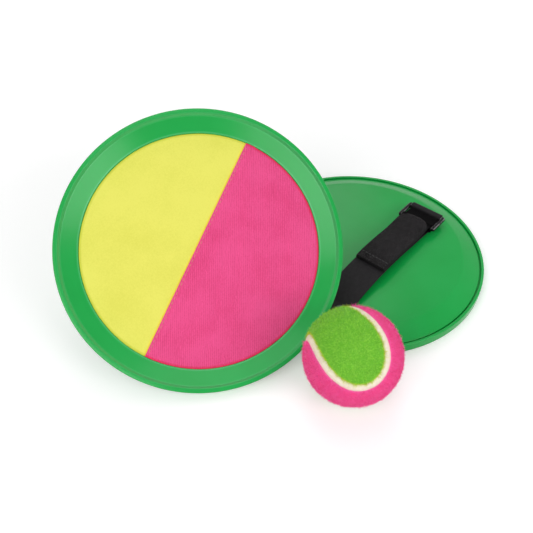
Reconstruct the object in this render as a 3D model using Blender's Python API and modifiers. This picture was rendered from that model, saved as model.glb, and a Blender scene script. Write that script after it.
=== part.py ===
"""Hook and loop catch set: two round paddles, each with a hand strap, and a felt ball.

The back paddle lies face down. The front paddle stands on its rim at a slant with its
face up, and the ball lies in the corner between the two rims. Units are metres, +Z up.
A paddle is modelled with its lip on z = 0, its back up, and its strap along +X.
"""
import math

import bmesh
import bpy
import numpy as np
from mathutils import Matrix, Vector

# Clearance between pieces that touch
FIT = 0.0003

# Moulded disc
DISC_RADIUS = 0.095
RIM_HEIGHT = 0.007
LIP_WIDTH = 0.003
LIP_STEP = 0.0018
FLANGE_WIDTH = 0.0021
GUTTER_WIDTH = 0.001
GUTTER_DEPTH = 0.0028
SHELL_WALL = 0.0029
PLATE_THICKNESS = 0.0018
RIM_FILLET = 0.0007
KNEE_FILLET = 0.006
DISC_SEGMENTS = 64

# Cloth pad in the dish
PAD_RADIUS = 0.0796
PAD_DEPTH = 0.008
PAD_THICKNESS = 0.0011
PAD_OVERLAP = 0.0028
LAP_THICKNESS = 0.0005
LAP_SLOPE = 0.0034
BAND_EDGE = 0.0006

# Hand strap, along +X of the paddle and set off towards -Y
STRAP_WIDTH = 0.025
STRAP_THICKNESS = 0.001
STRAP_OFFSET = 0.0215
STRAP_END = -0.067
STRAP_RISE_START = -0.056
STRAP_RISE = 0.0052
STRAP_SKEW = 0.744
STRAP_FULLNESS = 1.15
TAIL_END = -0.017
TAPE_THICKNESS = 0.0011
TAPE_INSET = 0.0002
TAPE_CORNER = 0.009
HOOKS_START = -0.008
HOOKS_LENGTH = 0.034
HOOKS_THICKNESS = 0.0005
HOOKS_INSET = 0.0015

# Rectangular ring
RING_NEAR_BAR = 0.048
RING_BAR_SPACING = 0.015
RING_BAR = 0.0032
RING_SIDE_BAR = 0.003
RING_EDGE = 0.0011
RING_SLACK = 0.0007

# Webbing tab that holds the ring
TAB_END = 0.034
TAB_CLIP = 0.004
TAB_RIVETS = 0.039
TAB_LIFT = 0.004
TAB_BEND = 0.0016
TAB_LEAN = 15.0

# Rivets
RIVET_SPREAD = 0.006
RIVET_HEAD_RADIUS = 0.0032
RIVET_HEAD_HEIGHT = 0.001
RIVET_SHANK_RADIUS = 0.0015
RIVET_TAIL_RADIUS = 0.0026
RIVET_TAIL_THICKNESS = 0.0006
STRAP_RIVETS = -0.061
RIVET_SEGMENTS = 12

# Ball
BALL_RADIUS = 0.0311
FELT_THICKNESS = 0.0026
SEAM_WIDTH = 0.0042
SEAM_DEPTH = 0.0005
SEAM_SWING = 0.288
SEAM_RISE = 1.067
SEAM_SHIFT = (0.052, 0.266, 0.007)
SEAM_POINTS = 78
BALL_TURN = (56.6, 51.9, -178.0)

# How the set lies
BACK_STRAP_HEADING = 48.5
FRONT_TILT = 36.95
FRONT_HEADING = 9.9
FRONT_SPIN = -57.05
FRONT_DIRECTION = 204.05
FRONT_CLEARANCE = 0.0095
BALL_BACK_CLEARANCE = 0.0037
BALL_FRONT_CLEARANCE = 0.0032

# Heights in a paddle that follow from the sizes above
SEAT_RADIUS = PAD_RADIUS + FIT
PLATE_FRONT = PAD_DEPTH + PAD_THICKNESS + FIT
PLATE_BACK = PLATE_FRONT + PLATE_THICKNESS
TAB_LOW = PLATE_BACK + FIT + STRAP_THICKNESS / 2
TAB_HIGH = TAB_LOW + STRAP_THICKNESS + FIT
UNDER_BAR = TAB_HIGH + STRAP_THICKNESS + FIT
WRAP_RADIUS = RING_BAR / 2 + FIT + STRAP_THICKNESS / 2
BAR_HEIGHT = UNDER_BAR + WRAP_RADIUS
RING_FAR_BAR = RING_NEAR_BAR + RING_BAR_SPACING
TAIL_PITCH = STRAP_THICKNESS + HOOKS_THICKNESS + 2 * FIT
CORE_RADIUS = BALL_RADIUS - FELT_THICKNESS - FIT


def clear_scene():
    for item in list(bpy.data.objects):
        bpy.data.objects.remove(item, do_unlink=True)


def new_collection(name):
    collection = bpy.data.collections.new(name)
    bpy.context.scene.collection.children.link(collection)
    return collection


def surface(name, colour, roughness, metallic=0.0):
    """One Principled material."""
    material = bpy.data.materials.new(name)
    material.use_nodes = True
    shader = material.node_tree.nodes["Principled BSDF"]
    shader.inputs["Base Color"].default_value = (*colour, 1.0)
    shader.inputs["Roughness"].default_value = roughness
    shader.inputs["Metallic"].default_value = metallic
    return material


def new_object(name, mesh, collection, parent=None, material=None):
    item = bpy.data.objects.new(name, mesh)
    collection.objects.link(item)
    item.parent = parent
    if material:
        mesh.materials.append(material)
    return item


def mesh_of(name, bm):
    """Turns a bmesh into a mesh with its faces pointing out, and frees the bmesh."""
    bmesh.ops.recalc_face_normals(bm, faces=bm.faces)
    mesh = bpy.data.meshes.new(name)
    bm.to_mesh(mesh)
    bm.free()
    return mesh


def shade_round(mesh, angle=35.0):
    mesh.shade_smooth()
    mesh.set_sharp_from_angle(angle=math.radians(angle))


def as_cutter(item):
    item.hide_render = True
    item.display_type = "WIRE"
    return item


def boolean(item, cutter, operation="DIFFERENCE"):
    modifier = item.modifiers.new(f"{operation.lower()} {cutter.name}", "BOOLEAN")
    modifier.operation = operation
    modifier.solver = "EXACT"
    modifier.object = cutter


def filleted(corners):
    """Rounds a chain of (radius, height, fillet) corners and returns its (radius, height) points."""
    chain = [corners[0][:2]]
    for before, (x, z, fillet), after in zip(corners, corners[1:], corners[2:]):
        here = Vector((x, z))
        to_before = Vector(before[:2]) - here
        to_after = Vector(after[:2]) - here
        room = 0.45 * min(to_before.length, to_after.length)
        to_before.normalize()
        to_after.normalize()
        half_angle = to_before.angle(to_after) / 2
        if fillet == 0.0 or half_angle > math.radians(88):
            chain.append(tuple(here))
            continue
        radius = min(fillet, room * math.tan(half_angle))
        centre = here + (to_before + to_after).normalized() * radius / math.sin(half_angle)
        start = here + to_before * radius / math.tan(half_angle) - centre
        end = here + to_after * radius / math.tan(half_angle) - centre
        turn = math.pi - 2 * half_angle
        steps = max(1, round(turn / math.radians(50)))
        for step in range(steps + 1):
            share = step / steps
            arm = start * math.sin((1 - share) * turn) + end * math.sin(share * turn)
            chain.append(tuple(centre + arm / math.sin(turn)))
    chain.append(corners[-1][:2])
    return chain


def turned(name, chain, segments, collection, parent, material=None):
    """A solid of revolution about Z: chain runs from the axis at the top to the axis below."""
    mesh = bpy.data.meshes.new(name)
    edges = [(i, i + 1) for i in range(len(chain) - 1)]
    mesh.from_pydata([(x, 0.0, z) for x, z in chain], edges, [])
    item = new_object(name, mesh, collection, parent, material)
    screw = item.modifiers.new("turn", "SCREW")
    screw.steps = segments
    screw.render_steps = segments
    screw.use_merge_vertices = True
    screw.merge_threshold = 0.00001
    screw.use_smooth_shade = True
    return item


def disc_chain():
    """The disc's section, from the middle of its back, round the rim, to the plate's front."""
    lip_inner = DISC_RADIUS - LIP_WIDTH
    band_top = Vector((lip_inner - RIM_FILLET / 2, LIP_STEP))
    band_low = Vector((SEAT_RADIUS, PAD_DEPTH - BAND_EDGE))
    along = (band_low - band_top).normalized()
    back = band_top + Vector((along.y, -along.x)) * SHELL_WALL
    knee_radius = back.x + along.x / along.y * (PLATE_BACK - back.y)
    gutter_outer = DISC_RADIUS - FLANGE_WIDTH
    gutter_inner = gutter_outer - GUTTER_WIDTH
    shoulder = back.y + along.y / along.x * (gutter_inner - back.x)
    gutter_floor = RIM_HEIGHT - GUTTER_DEPTH
    return filleted([
        (0.0, PLATE_BACK, 0.0),
        (knee_radius, PLATE_BACK, KNEE_FILLET),
        (gutter_inner, shoulder, RIM_FILLET),
        (gutter_inner, gutter_floor, 0.0),
        (gutter_outer, gutter_floor, 0.0),
        (gutter_outer, RIM_HEIGHT, RIM_FILLET),
        (DISC_RADIUS, RIM_HEIGHT, RIM_FILLET),
        (DISC_RADIUS, 0.0, RIM_FILLET),
        (lip_inner, 0.0, RIM_FILLET),
        (lip_inner, LIP_STEP, 0.0),
        (band_top.x, band_top.y, 0.0),
        (band_low.x, band_low.y, RIM_FILLET / 2),
        (SEAT_RADIUS, PLATE_FRONT, 0.0),
        (0.0, PLATE_FRONT, 0.0),
    ])


def rivet_places():
    """(x, y) of each rivet: the tab's two, then the strap's two."""
    return [
        (x, side * RIVET_SPREAD - STRAP_OFFSET) for x in (TAB_RIVETS, STRAP_RIVETS) for side in (1, -1)
    ]


def rivet_cutter(name, place, cutters, parent):
    """The stepped hole of one rivet, through the plate and the webbing on it."""
    bore = RIVET_SHANK_RADIUS + FIT
    sink = RIVET_TAIL_RADIUS + FIT
    top = TAB_HIGH
    step = PLATE_FRONT + RIVET_TAIL_THICKNESS + FIT
    below = PLATE_FRONT - 2 * FIT
    chain = [(0.0, top), (bore, top), (bore, step), (sink, step), (sink, below), (0.0, below)]
    cutter = as_cutter(turned(name, chain, RIVET_SEGMENTS, cutters, parent))
    cutter.location = (*place, 0.0)
    return cutter


def rivet(name, place, parts, parent, material):
    """A domed head over the webbing, a shank through the plate and a flat tail in its front."""
    seat = TAB_LOW + STRAP_THICKNESS / 2 + FIT
    crown = seat + RIVET_HEAD_HEIGHT
    tail_top = PLATE_FRONT + RIVET_TAIL_THICKNESS
    dome_edge = seat + RIVET_HEAD_HEIGHT * 0.3
    dome = [
        (RIVET_HEAD_RADIUS * math.sin(a), dome_edge + (crown - dome_edge) * math.cos(a))
        for a in np.radians([0.0, 30.0, 60.0, 90.0])
    ]
    chain = dome + [
        (RIVET_HEAD_RADIUS, seat),
        (RIVET_SHANK_RADIUS, seat),
        (RIVET_SHANK_RADIUS, tail_top),
        (RIVET_TAIL_RADIUS, tail_top),
        (RIVET_TAIL_RADIUS, PLATE_FRONT),
        (0.0, PLATE_FRONT),
    ]
    item = turned(name, chain, RIVET_SEGMENTS, parts, parent, material)
    item.location = (*place, 0.0)


def round_cutter(name, radius, low, high, cutters, parent):
    bm = bmesh.new()
    lift = Matrix.Translation((0.0, 0.0, (low + high) / 2))
    bmesh.ops.create_cone(
        bm, cap_ends=True, segments=DISC_SEGMENTS, radius1=radius, radius2=radius,
        depth=high - low, matrix=lift,
    )
    return as_cutter(new_object(name, mesh_of(name, bm), cutters, parent))


def extruded_profile(name, profile, half_length):
    """A (y, z) outline drawn out along X."""
    bm = bmesh.new()
    face = bm.faces.new([bm.verts.new((-half_length, y, z)) for y, z in profile])
    grown = bmesh.ops.extrude_face_region(bm, geom=[face])["geom"]
    moved = [v for v in grown if isinstance(v, bmesh.types.BMVert)]
    bmesh.ops.translate(bm, verts=moved, vec=(2 * half_length, 0.0, 0.0))
    return mesh_of(name, bm)


def pads(label, parts, cutters, parent, finishes):
    """The two half rounds of cloth. The pink one's straight edge laps over the yellow one."""
    back = PLATE_FRONT - FIT
    reach = PAD_RADIUS * 1.1
    trim = round_cutter(f"{label}_pad_trim", PAD_RADIUS, 0.0, back + PAD_DEPTH, cutters, parent)
    yellow = [(-reach, PAD_DEPTH), (-reach, back), (PAD_OVERLAP, back), (PAD_OVERLAP, PAD_DEPTH)]
    lap_back = PAD_DEPTH - FIT
    lap_front = lap_back - LAP_THICKNESS
    butt = PAD_OVERLAP + FIT
    pink = [
        (-PAD_OVERLAP, lap_back),
        (-PAD_OVERLAP, lap_front),
        (butt, lap_front),
        (butt + LAP_SLOPE, PAD_DEPTH),
        (reach, PAD_DEPTH),
        (reach, back),
        (butt, back),
        (butt, lap_back),
    ]
    for colour, profile in (("yellow", yellow), ("pink", pink)):
        name = f"{label}_pad_{colour}"
        mesh = extruded_profile(name, profile, reach)
        item = new_object(name, mesh, parts, parent, finishes[colour])
        boolean(item, trim, "INTERSECT")


def smooth(share):
    """Eases from 0 to 1."""
    share = min(1.0, max(0.0, share))
    return share * share * (3 - 2 * share)


def strap_height(x):
    """Height of the strap's lower run, an arch for the hand with its top near the tail's end."""
    share = (x - STRAP_RISE_START) / (RING_NEAR_BAR - STRAP_RISE_START)
    if share <= 0.0:
        return TAB_LOW
    arch = max(0.0, math.sin(math.pi * share ** STRAP_SKEW)) ** STRAP_FULLNESS
    return TAB_LOW + (UNDER_BAR - TAB_LOW) * share + STRAP_RISE * arch


def tail_height(x):
    """Height of the folded tail: it lies on the hook strip and climbs to the top of the bar."""
    hooked = smooth((x - TAIL_END) / (HOOKS_START - TAIL_END))
    pitch = STRAP_THICKNESS + 1.5 * FIT + (TAIL_PITCH - STRAP_THICKNESS - 1.5 * FIT) * hooked
    climb = BAR_HEIGHT + WRAP_RADIUS - UNDER_BAR - TAIL_PITCH
    climb_start = RING_NEAR_BAR - 0.028
    eased = smooth((x - climb_start) / (RING_NEAR_BAR - climb_start))
    return strap_height(x) + pitch + climb * eased


def bar_wrap(x, end=90.0, steps=7):
    """Points round a bar, from under it, past its outer side, to the given angle."""
    angles = np.linspace(-90.0, end, steps + 1)
    return [
        (x + WRAP_RADIUS * math.cos(a), BAR_HEIGHT + WRAP_RADIUS * math.sin(a))
        for a in np.radians(angles)
    ]


def strap_path():
    lower = [(x, strap_height(x)) for x in np.linspace(STRAP_RISE_START, RING_NEAR_BAR, 15)[:-1]]
    tail = [(x, tail_height(x)) for x in np.linspace(RING_NEAR_BAR, TAIL_END, 13)[1:]]
    return [(STRAP_END, TAB_LOW), *lower, *bar_wrap(RING_NEAR_BAR), *tail]


def tab_height(x):
    """Height of the tab's lower layer, which clears the strap's turn and then meets the far bar."""
    first = smooth((x - TAB_RIVETS - TAB_LIFT) / TAB_LIFT)
    second = smooth((x - RING_NEAR_BAR - RING_BAR / 2) / TAB_LIFT)
    return TAB_LOW + (TAB_HIGH - TAB_LOW) * first + (UNDER_BAR - TAB_HIGH) * second


def tab_path():
    """The tab: along the plate, round the far bar, down its inner side and back on itself."""
    ring_start = RING_NEAR_BAR + RING_BAR / 2 + TAB_LIFT
    out = [(x, tab_height(x)) for x in np.linspace(TAB_RIVETS + TAB_LIFT, ring_start, 9)]
    wrap = bar_wrap(RING_FAR_BAR, 180.0 - TAB_LEAN, 10)
    lean = math.radians(TAB_LEAN)
    upper = UNDER_BAR + STRAP_THICKNESS + FIT
    bend_height = upper + TAB_BEND
    fall = wrap[-1][1] - (bend_height - TAB_BEND * math.sin(lean))
    bend_x = wrap[-1][0] - fall * math.tan(lean) - TAB_BEND * math.cos(lean)
    bend = [
        (bend_x + TAB_BEND * math.cos(a), bend_height + TAB_BEND * math.sin(a))
        for a in np.radians(np.linspace(-TAB_LEAN, -90.0, 5))
    ]
    return [(TAB_END, TAB_LOW), (TAB_END + TAB_CLIP, TAB_LOW), *out, *wrap, *bend, (ring_start, upper)]


def offset_path(path, distance):
    """Moves each point of a path to the left of its direction."""
    moved = []
    for i, (x, z) in enumerate(path):
        ahead = Vector(path[min(i + 1, len(path) - 1)])
        behind = Vector(path[max(i - 1, 0)])
        along = (ahead - behind).normalized()
        moved.append((x - along.y * distance, z + along.x * distance))
    return moved


def ribbon(name, path, half_widths, thickness, parts, parent, material):
    """A flat band that follows a path of (x, height) points across the strap's middle."""
    bm = bmesh.new()
    rows = []
    for (x, z), half in zip(path, half_widths):
        rows.append([bm.verts.new((x, side * half - STRAP_OFFSET, z)) for side in (-1, 1)])
    for (a, b), (c, d) in zip(rows, rows[1:]):
        bm.faces.new((a, b, d, c))
    mesh = mesh_of(name, bm)
    shade_round(mesh)
    item = new_object(name, mesh, parts, parent, material)
    solidify = item.modifiers.new("thickness", "SOLIDIFY")
    solidify.thickness = thickness
    solidify.offset = 0.0
    solidify.use_even_offset = True
    return item


def tape(label, parts, parent, material):
    """The fuzzy tape on the tail: square at the tail's end and rounded at the ring."""
    start = TAIL_END + TAPE_INSET
    end = RING_NEAR_BAR
    half = STRAP_WIDTH / 2 - TAPE_INSET
    straight = list(np.linspace(start, end - TAPE_CORNER, 11))
    corner = [end - TAPE_CORNER + TAPE_CORNER * math.sin(a) for a in np.radians([20, 40, 60, 75, 86])]
    xs = straight + corner
    halves = [half] * len(straight)
    for x in corner:
        into = (x - end + TAPE_CORNER) / TAPE_CORNER
        halves.append(half - TAPE_CORNER * (1 - math.sqrt(1 - into * into)))
    rise = STRAP_THICKNESS / 2 + FIT + TAPE_THICKNESS / 2
    path = offset_path([(x, tail_height(x)) for x in xs], rise)
    ribbon(f"{label}_strap_tape", path, halves, TAPE_THICKNESS, parts, parent, material)


def hook_strip(label, parts, parent, material):
    """The hook strip under the tail, which grips the strap below it."""
    xs = np.linspace(HOOKS_START, HOOKS_START + HOOKS_LENGTH, 8)
    rise = STRAP_THICKNESS / 2 + FIT + HOOKS_THICKNESS / 2
    path = offset_path([(x, strap_height(x)) for x in xs], rise)
    halves = [STRAP_WIDTH / 2 - HOOKS_INSET] * len(path)
    ribbon(f"{label}_strap_hooks", path, halves, HOOKS_THICKNESS, parts, parent, material)


def box_mesh(name, size):
    bm = bmesh.new()
    bmesh.ops.create_cube(bm, size=1.0)
    bmesh.ops.scale(bm, vec=size, verts=bm.verts)
    return mesh_of(name, bm)


def ring(label, parts, cutters, parent, material):
    """A moulded rectangular ring: a plate with a window, its edges rounded over."""
    inner_width = STRAP_WIDTH + 2 * RING_SLACK
    inner_length = RING_BAR_SPACING - RING_BAR
    size = (RING_BAR_SPACING + RING_BAR, inner_width + 2 * RING_SIDE_BAR, RING_BAR)
    name = f"{label}_ring"
    middle = ((RING_NEAR_BAR + RING_FAR_BAR) / 2, -STRAP_OFFSET, BAR_HEIGHT)
    item = new_object(name, box_mesh(name, size), parts, parent, material)
    item.location = middle
    hole_name = f"{label}_ring_window"
    hole_mesh = box_mesh(hole_name, (inner_length, inner_width, 3 * RING_BAR))
    hole = as_cutter(new_object(hole_name, hole_mesh, cutters, parent))
    hole.location = middle
    boolean(item, hole)
    bevel = item.modifiers.new("rounded edges", "BEVEL")
    bevel.width = RING_EDGE
    bevel.segments = 3
    bevel.limit_method = "ANGLE"
    bevel.angle_limit = math.radians(60)


def paddle(label, parts, cutters, parent, finishes):
    """One paddle: its disc, pads, strap, tape, hook strip, ring, tab and rivets."""
    disc = turned(f"{label}_disc", disc_chain(), DISC_SEGMENTS, parts, parent, finishes["disc"])
    pads(label, parts, cutters, parent, finishes)
    full = STRAP_WIDTH / 2
    path = strap_path()
    strap = ribbon(
        f"{label}_strap", path, [full] * len(path), STRAP_THICKNESS, parts, parent, finishes["webbing"]
    )
    path = tab_path()
    halves = [full - TAB_CLIP, *[full] * (len(path) - 1)]
    tab = ribbon(
        f"{label}_ring_tab", path, halves, STRAP_THICKNESS, parts, parent, finishes["tab"]
    )
    tape(label, parts, parent, finishes["tape"])
    hook_strip(label, parts, parent, finishes["hooks"])
    ring(label, parts, cutters, parent, finishes["ring"])
    for number, place in enumerate(rivet_places(), start=1):
        hole = rivet_cutter(f"{label}_rivet_hole_{number}", place, cutters, parent)
        boolean(disc, hole)
        boolean(tab if number <= 2 else strap, hole)
        rivet(f"{label}_rivet_{number}", place, parts, parent, finishes["rivet"])


def seam_direction(t):
    """Unit vector of the seam's middle line on the ball, for t from 0 to a full turn."""
    shift = Vector(SEAM_SHIFT)
    x = math.cos(t) + SEAM_SWING * math.cos(3 * t)
    y = math.sin(t) - SEAM_SWING * math.sin(3 * t)
    z = SEAM_RISE * math.sin(2 * t)
    return (Vector((x, y, z)) + shift).normalized()


def seam_band(name, half_width, inner, outer):
    """A closed strip of rectangular section that follows the seam round the ball."""
    bm = bmesh.new()
    rings = []
    step = 2 * math.pi / SEAM_POINTS
    for i in range(SEAM_POINTS):
        here = seam_direction(i * step)
        along = seam_direction((i + 0.5) * step) - seam_direction((i - 0.5) * step)
        side = here.cross(along).normalized() * half_width
        section = [here * inner - side, here * outer - side, here * outer + side, here * inner + side]
        rings.append([bm.verts.new(corner) for corner in section])
    for one, two in zip(rings, rings[1:] + rings[:1]):
        for k in range(4):
            bm.faces.new((one[k], one[k - 1], two[k - 1], two[k]))
    return mesh_of(name, bm)


def round_body(name, radius, detail=3):
    bm = bmesh.new()
    bmesh.ops.create_icosphere(bm, subdivisions=detail, radius=radius)
    return mesh_of(name, bm)


def split_felt(shell):
    """Parts the cut felt shell into its two panels: (the one over +Z, the other)."""
    whole = bpy.data.meshes.new_from_object(shell.evaluated_get(bpy.context.evaluated_depsgraph_get()))
    panels = []
    for keep_top in (True, False):
        bm = bmesh.new()
        bm.from_mesh(whole)
        bm.verts.ensure_lookup_table()
        start = max(bm.verts, key=lambda v: v.co.z)
        island = {start}
        edge_of_island = [start]
        while edge_of_island:
            vert = edge_of_island.pop()
            found = [e.other_vert(vert) for e in vert.link_edges]
            fresh = [v for v in found if v not in island]
            island.update(fresh)
            edge_of_island.extend(fresh)
        drop = [v for v in bm.verts if (v in island) != keep_top]
        bmesh.ops.delete(bm, geom=drop, context="VERTS")
        panels.append(mesh_of("panel", bm))
    bpy.data.meshes.remove(whole)
    return panels


def ball(parts, cutters, parent, finishes):
    """A rubber ball with two felt panels and the cream strip between them."""
    core = round_body("ball_core", CORE_RADIUS)
    shade_round(core)
    new_object("ball_core", core, parts, parent, finishes["core"])
    felt_inner = CORE_RADIUS + FIT
    band = seam_band("ball_seam", SEAM_WIDTH / 2, felt_inner, BALL_RADIUS - SEAM_DEPTH)
    shade_round(band)
    new_object("ball_seam", band, parts, parent, finishes["seam"])
    shell = new_object("felt_shell", round_body("felt_shell", BALL_RADIUS, 4), cutters, parent)
    hollow = as_cutter(new_object("felt_hollow", round_body("felt_hollow", felt_inner), cutters, parent))
    groove_half = SEAM_WIDTH / 2 + FIT
    groove_mesh = seam_band("felt_groove", groove_half, felt_inner * 0.9, BALL_RADIUS * 1.1)
    groove = as_cutter(new_object("felt_groove", groove_mesh, cutters, parent))
    boolean(shell, hollow)
    boolean(shell, groove)
    bpy.context.view_layer.update()
    for colour, mesh in zip(("green", "pink"), split_felt(shell)):
        mesh.name = f"ball_felt_{colour}"
        shade_round(mesh)
        new_object(mesh.name, mesh, parts, parent, finishes[colour])
    bpy.data.objects.remove(shell)


def rim_points(chain, matrix):
    """Points of a disc's rim in the world, close enough together to measure from."""
    rim = [(x, z) for x, z in chain if x > DISC_RADIUS - LIP_WIDTH]
    turns = np.linspace(0.0, 2 * math.pi, 720, endpoint=False)
    local = [
        np.column_stack([x * np.cos(turns), x * np.sin(turns), np.full_like(turns, z)])
        for x, z in rim
    ]
    local = np.vstack(local)
    matrix = np.array(matrix)
    return local @ matrix[:3, :3].T + matrix[:3, 3]


def nearest(points, place):
    """The closest of the points to a place, and how far away it is."""
    away = np.linalg.norm(points - place, axis=1)
    return points[away.argmin()], away.min()


def front_matrix(chain, reach):
    """The front paddle's place, reach away from the back paddle's middle, standing on its rim."""
    tilt = math.radians(FRONT_TILT)
    height = max(x * math.sin(tilt) + z * math.cos(tilt) for x, z in chain)
    way = math.radians(FRONT_DIRECTION)
    place = Matrix.Translation((reach * math.cos(way), reach * math.sin(way), height))
    heading = Matrix.Rotation(math.radians(FRONT_HEADING), 4, "Z")
    face_up = Matrix.Rotation(math.pi + tilt, 4, "X")
    return place @ heading @ face_up @ Matrix.Rotation(math.radians(FRONT_SPIN), 4, "Z")


def place_front(chain):
    """Moves the front paddle out until its rim clears the back paddle's by FRONT_CLEARANCE."""
    back_rim = rim_points(chain, Matrix.Identity(4))
    near, far = DISC_RADIUS, 3 * DISC_RADIUS
    for _ in range(18):
        reach = (near + far) / 2
        front_rim = rim_points(chain, front_matrix(chain, reach))
        low = front_rim[front_rim[:, 2] < 4 * RIM_HEIGHT][::3]
        gap = min(nearest(back_rim, point)[1] for point in low)
        if gap < FRONT_CLEARANCE:
            near = reach
        else:
            far = reach
    return front_matrix(chain, far)


def place_ball(chain, front):
    """Rolls the ball into the corner between the two rims until it is this clear of each."""
    rims = [
        (rim_points(chain, Matrix.Identity(4)), BALL_BACK_CLEARANCE),
        (rim_points(chain, front), BALL_FRONT_CLEARANCE),
    ]
    place = np.array([0.0, -(DISC_RADIUS + BALL_RADIUS), BALL_RADIUS])
    for _ in range(30):
        slopes, errors = [], []
        for rim, clearance in rims:
            point, away = nearest(rim, place)
            slopes.append((place - point)[:2] / away)
            errors.append(BALL_RADIUS + clearance - away)
        place[:2] += 0.7 * np.linalg.solve(slopes, errors)
    turn = [math.radians(a) for a in BALL_TURN]
    rotation = Matrix.Rotation(turn[2], 4, "Z") @ Matrix.Rotation(turn[1], 4, "Y")
    return Matrix.Translation(place) @ rotation @ Matrix.Rotation(turn[0], 4, "X")


def new_empty(name, parent, matrix):
    empty = bpy.data.objects.new(name, None)
    bpy.context.scene.collection.objects.link(empty)
    empty.parent = parent
    empty.matrix_local = matrix
    return empty


def centre_on_floor(root, parts):
    """Moves the whole set so that the middle of its bounding box is over the origin."""
    bpy.context.view_layer.update()
    depsgraph = bpy.context.evaluated_depsgraph_get()
    corners = []
    for item in parts.objects:
        seen = item.evaluated_get(depsgraph)
        mesh = seen.to_mesh()
        corners.extend(seen.matrix_world @ vert.co for vert in mesh.vertices)
        seen.to_mesh_clear()
    corners = np.array(corners)
    middle = (corners.min(axis=0) + corners.max(axis=0)) / 2
    root.location = (-middle[0], -middle[1], -corners[:, 2].min())


def set_finishes():
    return {
        "disc": surface("green moulded plastic", (0.035, 0.36, 0.11), 0.38),
        "yellow": surface("yellow catching cloth", (0.80, 0.77, 0.12), 0.9),
        "pink": surface("pink catching cloth", (0.84, 0.08, 0.24), 0.9),
        "webbing": surface("black webbing", (0.012, 0.011, 0.013), 0.75),
        "tab": surface("black tab webbing", (0.012, 0.011, 0.013), 0.75),
        "tape": surface("black fuzzy tape", (0.03, 0.028, 0.03), 0.95),
        "hooks": surface("black hook strip", (0.015, 0.015, 0.015), 0.6),
        "ring": surface("black ring plastic", (0.01, 0.01, 0.01), 0.4),
        "rivet": surface("blackened rivet steel", (0.05, 0.05, 0.05), 0.45, 0.8),
        "core": surface("grey ball rubber", (0.25, 0.24, 0.22), 0.85),
        "seam": surface("cream seam strip", (0.85, 0.80, 0.68), 0.85),
    }


def build():
    clear_scene()
    parts = new_collection("hook_and_loop_catch_set")
    cutters = new_collection("cutters")
    finishes = set_finishes()
    chain = disc_chain()
    front = place_front(chain)
    root = new_empty("set", None, Matrix.Identity(4))
    spin = Matrix.Rotation(math.radians(BACK_STRAP_HEADING), 4, "Z")
    back_empty = new_empty("back_paddle", root, spin)
    front_empty = new_empty("front_paddle", root, front)
    ball_empty = new_empty("ball", root, place_ball(chain, front))
    paddle("back", parts, cutters, back_empty, finishes)
    paddle("front", parts, cutters, front_empty, finishes)
    felts = {
        "green": surface("green ball felt", (0.30, 0.55, 0.05), 0.95),
        "pink": surface("pink ball felt", (0.85, 0.09, 0.28), 0.95),
    }
    ball(parts, cutters, ball_empty, {**finishes, **felts})
    centre_on_floor(root, parts)


build()
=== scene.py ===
"""Looks of the hook and loop catch set: two round paddles with hand straps, and a felt ball."""
import math

import bmesh
import bpy
import numpy as np
from mathutils import Matrix, Vector, noise


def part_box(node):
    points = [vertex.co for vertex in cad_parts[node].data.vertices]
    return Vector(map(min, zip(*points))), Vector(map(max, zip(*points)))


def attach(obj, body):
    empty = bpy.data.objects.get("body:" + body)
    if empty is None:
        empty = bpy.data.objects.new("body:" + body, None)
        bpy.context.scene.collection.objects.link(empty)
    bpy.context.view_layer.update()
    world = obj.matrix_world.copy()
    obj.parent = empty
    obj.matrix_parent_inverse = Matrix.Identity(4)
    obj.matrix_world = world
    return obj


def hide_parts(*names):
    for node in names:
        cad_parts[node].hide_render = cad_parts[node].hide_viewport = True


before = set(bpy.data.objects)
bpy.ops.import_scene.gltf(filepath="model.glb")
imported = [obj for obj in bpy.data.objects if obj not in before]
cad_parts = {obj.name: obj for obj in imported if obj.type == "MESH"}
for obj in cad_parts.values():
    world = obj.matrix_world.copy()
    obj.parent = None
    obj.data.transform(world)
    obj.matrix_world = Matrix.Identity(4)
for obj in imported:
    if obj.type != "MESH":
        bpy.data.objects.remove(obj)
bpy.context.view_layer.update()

# Moulded discs
# Each paddle is one injection-moulded dish of semi-gloss green polypropylene, with a raised lip,
# a sloping band and a flat plate. Its back has a rim flange, a gutter and a rounded shoulder.

SIDES = ("back", "front")
DISC_RADIUS = 0.095
RIM_HEIGHT = 0.007
LIP_WIDTH = 0.003
LIP_STEP = 0.0018
FLANGE_WIDTH = 0.0021
GUTTER_WIDTH = 0.001
GUTTER_DEPTH = 0.0028
SHELL_WALL = 0.0029
PLATE_FRONT = 0.0094
PLATE_BACK = 0.0112
SEAT_RADIUS = 0.0799
PAD_DEPTH = 0.008
BAND_EDGE = 0.0006
RIM_FILLET = 0.0007
LIP_SLOPE = 0.0012
# Width of the painted highlight inside the lip.
LIP_HIGHLIGHT_WIDTH = 0.0014
SHOULDER_FULLNESS = 0.0012
BAND_FILLET = 0.0006
KNEE_FILLET = 0.006
FILLET_ROOM = 0.45
NEARLY_STRAIGHT = math.radians(88)
DISC_SEGMENTS = 288
PLATE_RINGS = (0.016, 0.032, 0.048, 0.062)
MERGE_DISTANCE = 0.000001
STRAP_OFFSET = 0.0215
RING_NEAR_BAR = 0.048
RING_FAR_BAR = 0.063
BAR_HEIGHT = PLATE_BACK + 0.0058
# The painted highlights at the lip and the seat: their front-side heights, the seat one's width, and,
# below the two body greens, their paler green.
LIP_EDGE_HEIGHTS = (0.0030, 0.0034)
SEAT_EDGE_HEIGHTS = (0.0085, 0.0089)
SEAT_HIGHLIGHT_WIDTH = 0.0008
GREEN = (0.008, 0.370, 0.066)
DEEP_GREEN = (0.004, 0.345, 0.055)
HIGHLIGHT_GREEN = (0.060, 0.435, 0.135)


def middle(node_name):
    """The middle of a solid's box."""
    low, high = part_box(node_name)
    return (low + high) / 2


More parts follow.
